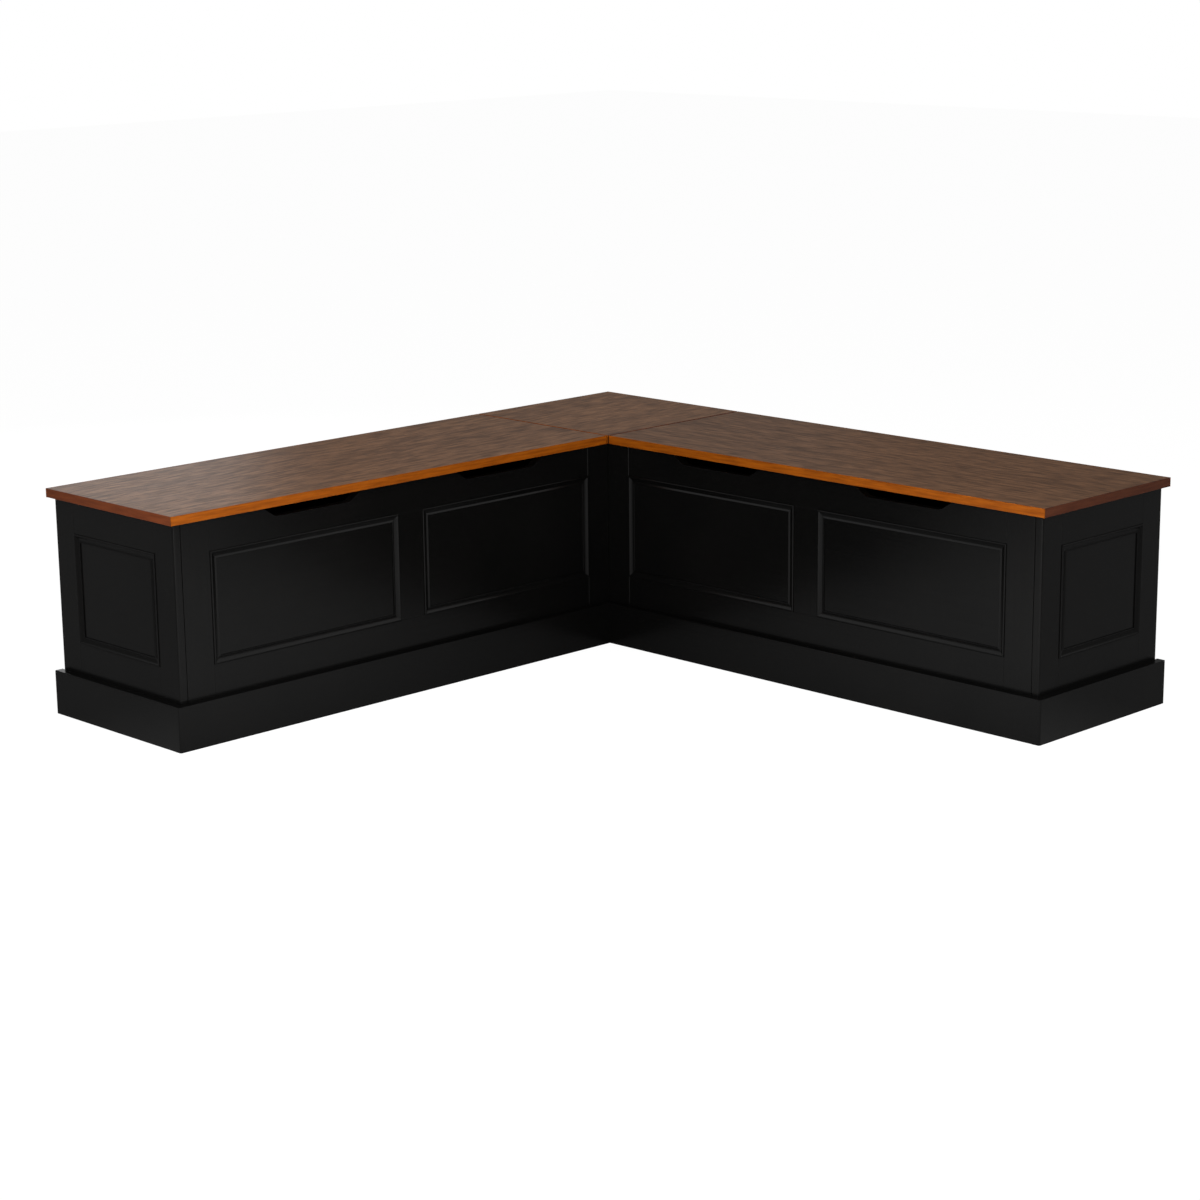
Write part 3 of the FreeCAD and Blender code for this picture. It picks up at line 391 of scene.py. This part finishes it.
# Inside of the case: backs, partitions under the seams of the top, and bottom
# boards, glued in between the frames and painted black with them.
for side in SIDES:
    painted_board(f"{side}_back_board", paint[grain_of_wing[side]])
    painted_board(f"{side}_partition", paint["Z"])
    painted_board(f"{side}_bottom_board", paint[grain_of_wing[side]])


# Cleats: planed softwood strips glued inside the case and left bare. They carry
# the bottom boards, and screws through them hold the corner top from below.
def blended(material, kind, share, base, over):
    """One colour laid over another; share is a number or a pattern."""
    mix = material.node_tree.nodes.new("ShaderNodeMix")
    mix.data_type = "RGBA"
    mix.blend_type = kind
    links = material.node_tree.links
    if isinstance(share, (int, float)):
        mix.inputs["Factor"].default_value = share
    else:
        links.new(share, mix.inputs["Factor"])
    links.new(base, mix.inputs["A"])
    if isinstance(over, tuple):
        mix.inputs["B"].default_value = (*over, 1)
    else:
        links.new(over, mix.inputs["B"])
    return mix.outputs["Result"]


def softwood(name, grain):
    """Bare pine with its grain along one axis."""
    material, shader = new_material(name)
    links = material.node_tree.links
    ring = stretched_noise(material, grain, length=0.5, width=0.006, detail=3)
    fibre = stretched_noise(material, grain, length=0.02, width=0.0008, detail=2)
    early_wood = (0.62, 0.45, 0.26)
    late_wood = (0.46, 0.28, 0.13)
    duller = (0.9, 0.88, 0.85)
    brighter = (1.04, 1.03, 1.02)
    colour = shaded(material, ring, low=0.35, high=0.65, dark=early_wood, light=late_wood)
    worn = shaded(material, fibre, low=0.3, high=0.7, dark=duller, light=brighter)
    colour = blended(material, "MULTIPLY", 1.0, colour, worn)
    links.new(colour, shader.inputs["Base Color"])
    shader.inputs["Roughness"].default_value = 0.62
    links.new(relief(material, fibre, strength=0.3, depth=0.0003), shader.inputs["Normal"])
    return material


def coated(node, material):
    """Give a frame piece that is shown as it is its finish."""
    for place in frame["nodes"][node].material_slots:
        place.material = material


pine = softwood("bare_softwood", "X")
for node in ("bottom_board_cleats", "corner_top_cleats"):
    coated(node, pine)


# Tops: two lids and a fixed corner, of 18 mm board with walnut veneer on both
# faces under a low-sheen lacquer. The figure is fine: soft bands and streaks,
# darker flecks about two centimetres long, and open pores.
fleck_slant = {"X": 12, "Y": -12}


def walnut_veneer(name, grain, shift, tone_and_shade):
    """Lacquered veneer with its grain along one axis; each top has its own figure, and a tone that is
    partly the leaf's own and partly painted shade.
    """
    material, shader = new_material(name)
    links = material.node_tree.links
    shader.inputs["Specular IOR Level"].default_value = 0.15
    band = stretched_noise(material, grain, length=0.50, width=0.034, detail=3, shift=shift)
    streak = stretched_noise(
        material, grain, length=0.055, width=0.008, detail=5, shift=shift + 3, slant=2
    )
    fleck = stretched_noise(
        material, grain, length=0.018, width=0.006, detail=3, shift=shift + 7, slant=fleck_slant[grain]
    )
    pore = stretched_noise(material, grain, length=0.010, width=0.0007, detail=2, shift=shift + 11)
    dark_band = tuple(tone_and_shade * part for part in (0.190, 0.088, 0.038))
    light_band = tuple(tone_and_shade * part for part in (0.275, 0.132, 0.060))
    darker = (0.56, 0.54, 0.52)
    lighter = (1.32, 1.32, 1.31)
    fleck_brown = (0.070, 0.037, 0.022)
    pore_brown = (0.050, 0.026, 0.016)
    colour = shaded(material, band, low=0.32, high=0.68, dark=dark_band, light=light_band)
    tint = shaded(material, streak, low=0.34, high=0.66, dark=darker, light=lighter)
    colour = blended(material, "MULTIPLY", 1.0, colour, tint)
    dark_fleck = level(material, fleck, low=0.54, high=0.70, least=0, most=0.55)
    colour = blended(material, "MIX", dark_fleck, colour, fleck_brown)
    open_pore = level(material, pore, low=0.58, high=0.70, least=0, most=0.45)
    colour = blended(material, "MIX", open_pore, colour, pore_brown)
    links.new(colour, shader.inputs["Base Color"])
    roughness = level(material, streak, low=0.3, high=0.7, least=0.42, most=0.36)
    links.new(roughness, shader.inputs["Roughness"])
    links.new(relief(material, pore, strength=0.2, depth=0.0002), shader.inputs["Normal"])
    return material


top_grain = {"left_lid": "Y", "right_lid": "X", "corner_top": "Y"}
figure_shift = {"left_lid": 0, "right_lid": 17, "corner_top": 31}
# Each top's tone is partly its own veneer leaf and partly painted shade: the right lid is made darker
# because less light falls on it.
veneer_tone_and_shade = {"left_lid": 1.0, "right_lid": 0.84, "corner_top": 1.05}
veneer_arris = 0.0002
for top, grain in top_grain.items():
    node = f"{top}_board"
    shape = merged_copy(node)
    rounded(shape, sharp_edges(shape), veneer_arris, segments=2)
    veneer = walnut_veneer(f"walnut_veneer_{top}", grain, figure_shift[top], veneer_tone_and_shade[top])
    finished(shape, node, veneer)


# Lipping: solid walnut strips, 2 mm thick, glued round each top and rounded at their outer edges. The
# long ones are orange-brown. The end ones are given darker, redder colours, a different one for each
# end, which is painted shade for the lower light that falls on them.
def solid_edge(name, grain, dark, light, shift):
    """Lacquered solid wood with its grain along one axis."""
    material, shader = new_material(name)
    links = material.node_tree.links
    shader.inputs["Specular IOR Level"].default_value = 0.16
    streak = stretched_noise(material, grain, length=0.06, width=0.004, detail=4, shift=shift)
    pore = stretched_noise(material, grain, length=0.014, width=0.0007, detail=2, shift=shift + 5)
    colour = shaded(material, streak, low=0.3, high=0.7, dark=dark, light=light)
    pore_colour = tuple(0.4 * part for part in dark)
    open_pore = level(material, pore, low=0.58, high=0.72, least=0, most=0.35)
    colour = blended(material, "MIX", open_pore, colour, pore_colour)
    links.new(colour, shader.inputs["Base Color"])
    shader.inputs["Roughness"].default_value = 0.42
    links.new(relief(material, pore, strength=0.2, depth=0.0002), shader.inputs["Normal"])
    return material


lipping_width = 0.002
lipping_arris = 0.0009
long_colours = ((0.200, 0.044, 0.0016), (0.345, 0.086, 0.0035))
# The darker end colours, one for each end, are painted shade.
left_end_shaded_colours = ((0.120, 0.027, 0.008), (0.195, 0.047, 0.013))
right_end_shaded_colours = ((0.066, 0.017, 0.007), (0.105, 0.031, 0.013))
corner_end_shaded_colours = ((0.100, 0.025, 0.009), (0.170, 0.044, 0.016))
long_wood = (
    solid_edge("walnut_edge_long_x", "X", *long_colours, shift=2),
    solid_edge("walnut_edge_long_y", "Y", *long_colours, shift=9),
)
end_wood_shaded = {
    "left_lid": solid_edge("walnut_edge_left_end_shaded", "X", *left_end_shaded_colours, shift=4),
    "right_lid": solid_edge("walnut_edge_right_end_shaded", "Y", *right_end_shaded_colours, shift=6),
    "corner_top": solid_edge("walnut_edge_corner_end_shaded", "Y", *corner_end_shaded_colours, shift=8),
}


def lipping_strip(node, low, high, arrises):
    """One strip of a top's lipping as a mesh, with its outer arrises rounded."""
    shape = bmesh.new()
    shape.from_mesh(frame["nodes"][node].data)
    just_inside = 0.0002
    others = []
    for face in shape.faces:
        inside = face.calc_center_median() - just_inside * face.normal
        if any(not low[axis] < inside[axis] < high[axis] for axis in range(3)):
            others.append(face)
    bmesh.ops.delete(shape, geom=others, context="FACES")
    merge_triangles(shape)
    chosen = []
    for sides in arrises:
        chosen += edges_between(shape, (low, high), sides)
    rounded(shape, chosen, lipping_arris, segments=3)
    mesh = bpy.data.meshes.new("strip")
    shape.to_mesh(mesh)
    shape.free()
    return mesh


BOTTOM = (2, 0)
for top, grain in top_grain.items():
    node = f"{top}_lipping"
    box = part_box(node)
    lengthways = 0 if top == "corner_top" else "XY".index(grain)
    sideways = 1 - lengthways
    whole = bmesh.new()
    for axis in (sideways, lengthways):
        for end in (0, 1):
            low, high = box[0].copy(), box[1].copy()
            inner = low[axis] + lipping_width if end == 0 else high[axis] - lipping_width
            (high if end == 0 else low)[axis] = inner
            if axis == lengthways:
                low[sideways] += lipping_width
                high[sideways] -= lipping_width
            arrises = [((axis, end), TOP), ((axis, end), BOTTOM)]
            if axis == sideways:
                arrises += [((axis, end), (lengthways, 0)), ((axis, end), (lengthways, 1))]
            strip = lipping_strip(node, low, high, arrises)
            before = len(whole.faces)
            whole.from_mesh(strip)
            bpy.data.meshes.remove(strip)
            whole.faces.ensure_lookup_table()
            for face in whole.faces[before:]:
                face.material_index = 0 if axis == sideways else 1
    piece = finished(whole, node, long_wood[lengthways])
    piece.data.materials.append(end_wood_shaded[top])

# Hinges, stays and their screws: pressed and turned steel with a black zinc
# plating, satin and a little cloudy, with fine scratches.
plated, shader = new_material("black_zinc_steel")
links = plated.node_tree.links
cloud = even_noise(plated, size=0.004, detail=2)
scratch = stretched_noise(plated, "X", length=0.02, width=0.0003, detail=1)
dark_zinc = (0.045, 0.046, 0.050)
pale_zinc = (0.075, 0.075, 0.078)
colour = shaded(plated, cloud, low=0.3, high=0.7, dark=dark_zinc, light=pale_zinc)
links.new(colour, shader.inputs["Base Color"])
roughness = level(plated, cloud, low=0.3, high=0.7, least=0.32, most=0.46)
links.new(roughness, shader.inputs["Roughness"])
links.new(relief(plated, scratch, strength=0.08, depth=0.0001), shader.inputs["Normal"])
shader.inputs["Metallic"].default_value = 1
for node in frame["nodes"]:
    if any(word in node for word in ("hinge", "stay", "screws")):
        coated(node, plated)

# Studio floor: pale paper that the camera sees as white, with the bench's soft shadow on it. To glossy
# rays it glows as a painted pool of light in front of the inner corner and a dimmer surround, with
# painted shade round the bench's foot where the surround falls to nothing, both stronger where they are
# met at a low angle. The satin paint mirrors this glow as painted reflections.
floor_mesh = bpy.data.meshes.new("floor")
shape = bmesh.new()
bmesh.ops.create_grid(shape, x_segments=1, y_segments=1, size=15)
shape.to_mesh(floor_mesh)
shape.free()
floor = bpy.data.objects.new("floor", floor_mesh)
scene.collection.objects.link(floor)
floor_paper, matte = new_material("floor_paper")
floor_mesh.materials.append(floor_paper)
matte.inputs["Roughness"].default_value = 1
matte.inputs["Specular IOR Level"].default_value = 0
floor_nodes = floor_paper.node_tree.nodes
floor_links = floor_paper.node_tree.links
floor_place = floor_nodes.new("ShaderNodeTexCoord")
rays = floor_nodes.new("ShaderNodeLightPath")


def floor_level(centre, near, far, near_level, far_level):
    """A level over the floor that runs between two distances from a point."""
    away = floor_nodes.new("ShaderNodeVectorMath")
    away.operation = "DISTANCE"
    away.inputs[1].default_value = centre
    floor_links.new(floor_place.outputs["Object"], away.inputs[0])
    spread = level(floor_paper, away.outputs["Value"], near, far, near_level, far_level)
    spread.node.interpolation_type = "SMOOTHSTEP"
    return spread


def combined(kind, *parts, clamped=False):
    """One level worked out from others; each part is a number or another level."""
    step = floor_nodes.new("ShaderNodeMath")
    step.operation = kind
    step.use_clamp = clamped
    for socket, part in zip(step.inputs, parts):
        if isinstance(part, (int, float)):
            socket.default_value = part
        else:
            floor_links.new(part, socket)
    return step.outputs["Value"]


# Painted light: a glowing pool on the floor, seen only in reflections, and painted shade round the
# bench's foot.
painted_light_pool = floor_level((1.1, -1.1, 0), near=0.6, far=2.35, near_level=1.5, far_level=0)
surround_with_painted_shade = floor_level((0.1, -0.1, 0), near=0.75, far=1.15, near_level=0, far_level=0.29)
angle = floor_nodes.new("ShaderNodeLayerWeight")
angle.inputs["Blend"].default_value = 0.5
low_angle = combined("POWER", angle.outputs["Facing"], 2)
painted_glow_level = combined("MULTIPLY", low_angle, combined("MAXIMUM", painted_light_pool, surround_with_painted_shade), clamped=True)
seen_white = combined("MULTIPLY", rays.outputs["Is Camera Ray"], 0.82)
white_and_painted_glow = combined("MULTIPLY_ADD", rays.outputs["Is Glossy Ray"], painted_glow_level, seen_white)
# To glossy rays the paper's own colour is a darker grey: painted shade in its reflection.
paper = floor_nodes.new("ShaderNodeMix")
paper.data_type = "RGBA"
paper.inputs["A"].default_value = (0.75, 0.75, 0.75, 1)
paper.inputs["B"].default_value = (0.15, 0.15, 0.15, 1)
floor_links.new(rays.outputs["Is Glossy Ray"], paper.inputs["Factor"])
floor_links.new(paper.outputs["Result"], matte.inputs["Base Color"])
white = floor_nodes.new("ShaderNodeEmission")
white.inputs["Color"].default_value = (1, 1, 1, 1)
white.inputs["Strength"].default_value = 1.17
mixed = floor_nodes.new("ShaderNodeMixShader")
floor_links.new(white_and_painted_glow, mixed.inputs["Fac"])
floor_links.new(matte.outputs["BSDF"], mixed.inputs[1])
floor_links.new(white.outputs["Emission"], mixed.inputs[2])
floor_links.new(mixed.outputs["Shader"], floor_nodes["Material Output"].inputs["Surface"])

# The room: white where the camera sees past the floor, and a dim, even light on
# the bench.
world = bpy.data.worlds.new("studio")
world.use_nodes = True
scene.world = world
nodes = world.node_tree.nodes
links = world.node_tree.links
even_light = nodes["Background"]
even_light.inputs["Color"].default_value = (1, 1, 1, 1)
even_light.inputs["Strength"].default_value = 0.152
seen = nodes.new("ShaderNodeBackground")
seen.inputs["Color"].default_value = (1, 1, 1, 1)
rays = nodes.new("ShaderNodeLightPath")
mixed = nodes.new("ShaderNodeMixShader")
links.new(rays.outputs["Is Camera Ray"], mixed.inputs["Fac"])
links.new(even_light.outputs["Background"], mixed.inputs[1])
links.new(seen.outputs["Background"], mixed.inputs[2])
links.new(mixed.outputs["Shader"], nodes["World Output"].inputs["Surface"])


# Lamps: soft boxes on all sides and above. The left and right front ones light
# the wings' fronts, and aren't mirrored, so they leave no bright patch.
def softbox(name, place, target, size, power, mirrored=True):
    """A square soft light that faces a point; the camera doesn't see it, and glossy faces may."""
    lamp = bpy.data.objects.new(name, bpy.data.lights.new(name, "AREA"))
    lamp.data.shape = "SQUARE"
    lamp.data.size = size
    lamp.data.energy = power
    lamp.visible_camera = False
    lamp.visible_glossy = mirrored
    lamp.location = place
    facing = Vector(target) - Vector(place)
    lamp.rotation_euler = facing.to_track_quat("-Z", "Y").to_euler()
    scene.collection.objects.link(lamp)


softbox("left_front_light", (0.50, -1.45, 0.75), (-0.4, -0.6, 0.3), size=0.5, power=11.6, mirrored=False)
softbox("right_front_light", (1.45, -0.50, 0.75), (0.6, 0.4, 0.3), size=0.5, power=10.0, mirrored=False)
softbox("low_front_light", (1.7, -1.7, 0.35), (0, 0, 0.25), size=0.6, power=5.0)
softbox("high_front_light", (2.0, -2.0, 2.4), (0, 0, 0.3), size=1.6, power=9.0)
softbox("left_end_light", (0.2, -1.9, 0.9), (-0.4, -0.5, 0.3), size=0.8, power=2.0)
softbox("top_light", (-0.5, 0.5, 3.0), (0, 0, 0.3), size=2.5, power=9.0)
softbox("right_light", (3.0, 1.5, 1.5), (0.7, 0.5, 0.3), size=1.2, power=1.5)
softbox("left_light", (-3.4, 0.9, 1.2), (-0.5, -0.4, 0.4), size=1.4, power=6.2)
softbox("right_high_light", (2.3, 2.1, 2.9), (0, 0, 0.3), size=2.8, power=22.0)
softbox("left_high_light", (-2.1, -2.3, 2.9), (0, 0, 0.3), size=2.8, power=22.0)
softbox("back_light", (-2.2, 2.2, 1.5), (0, 0, 0.4), size=1.5, power=0.8)
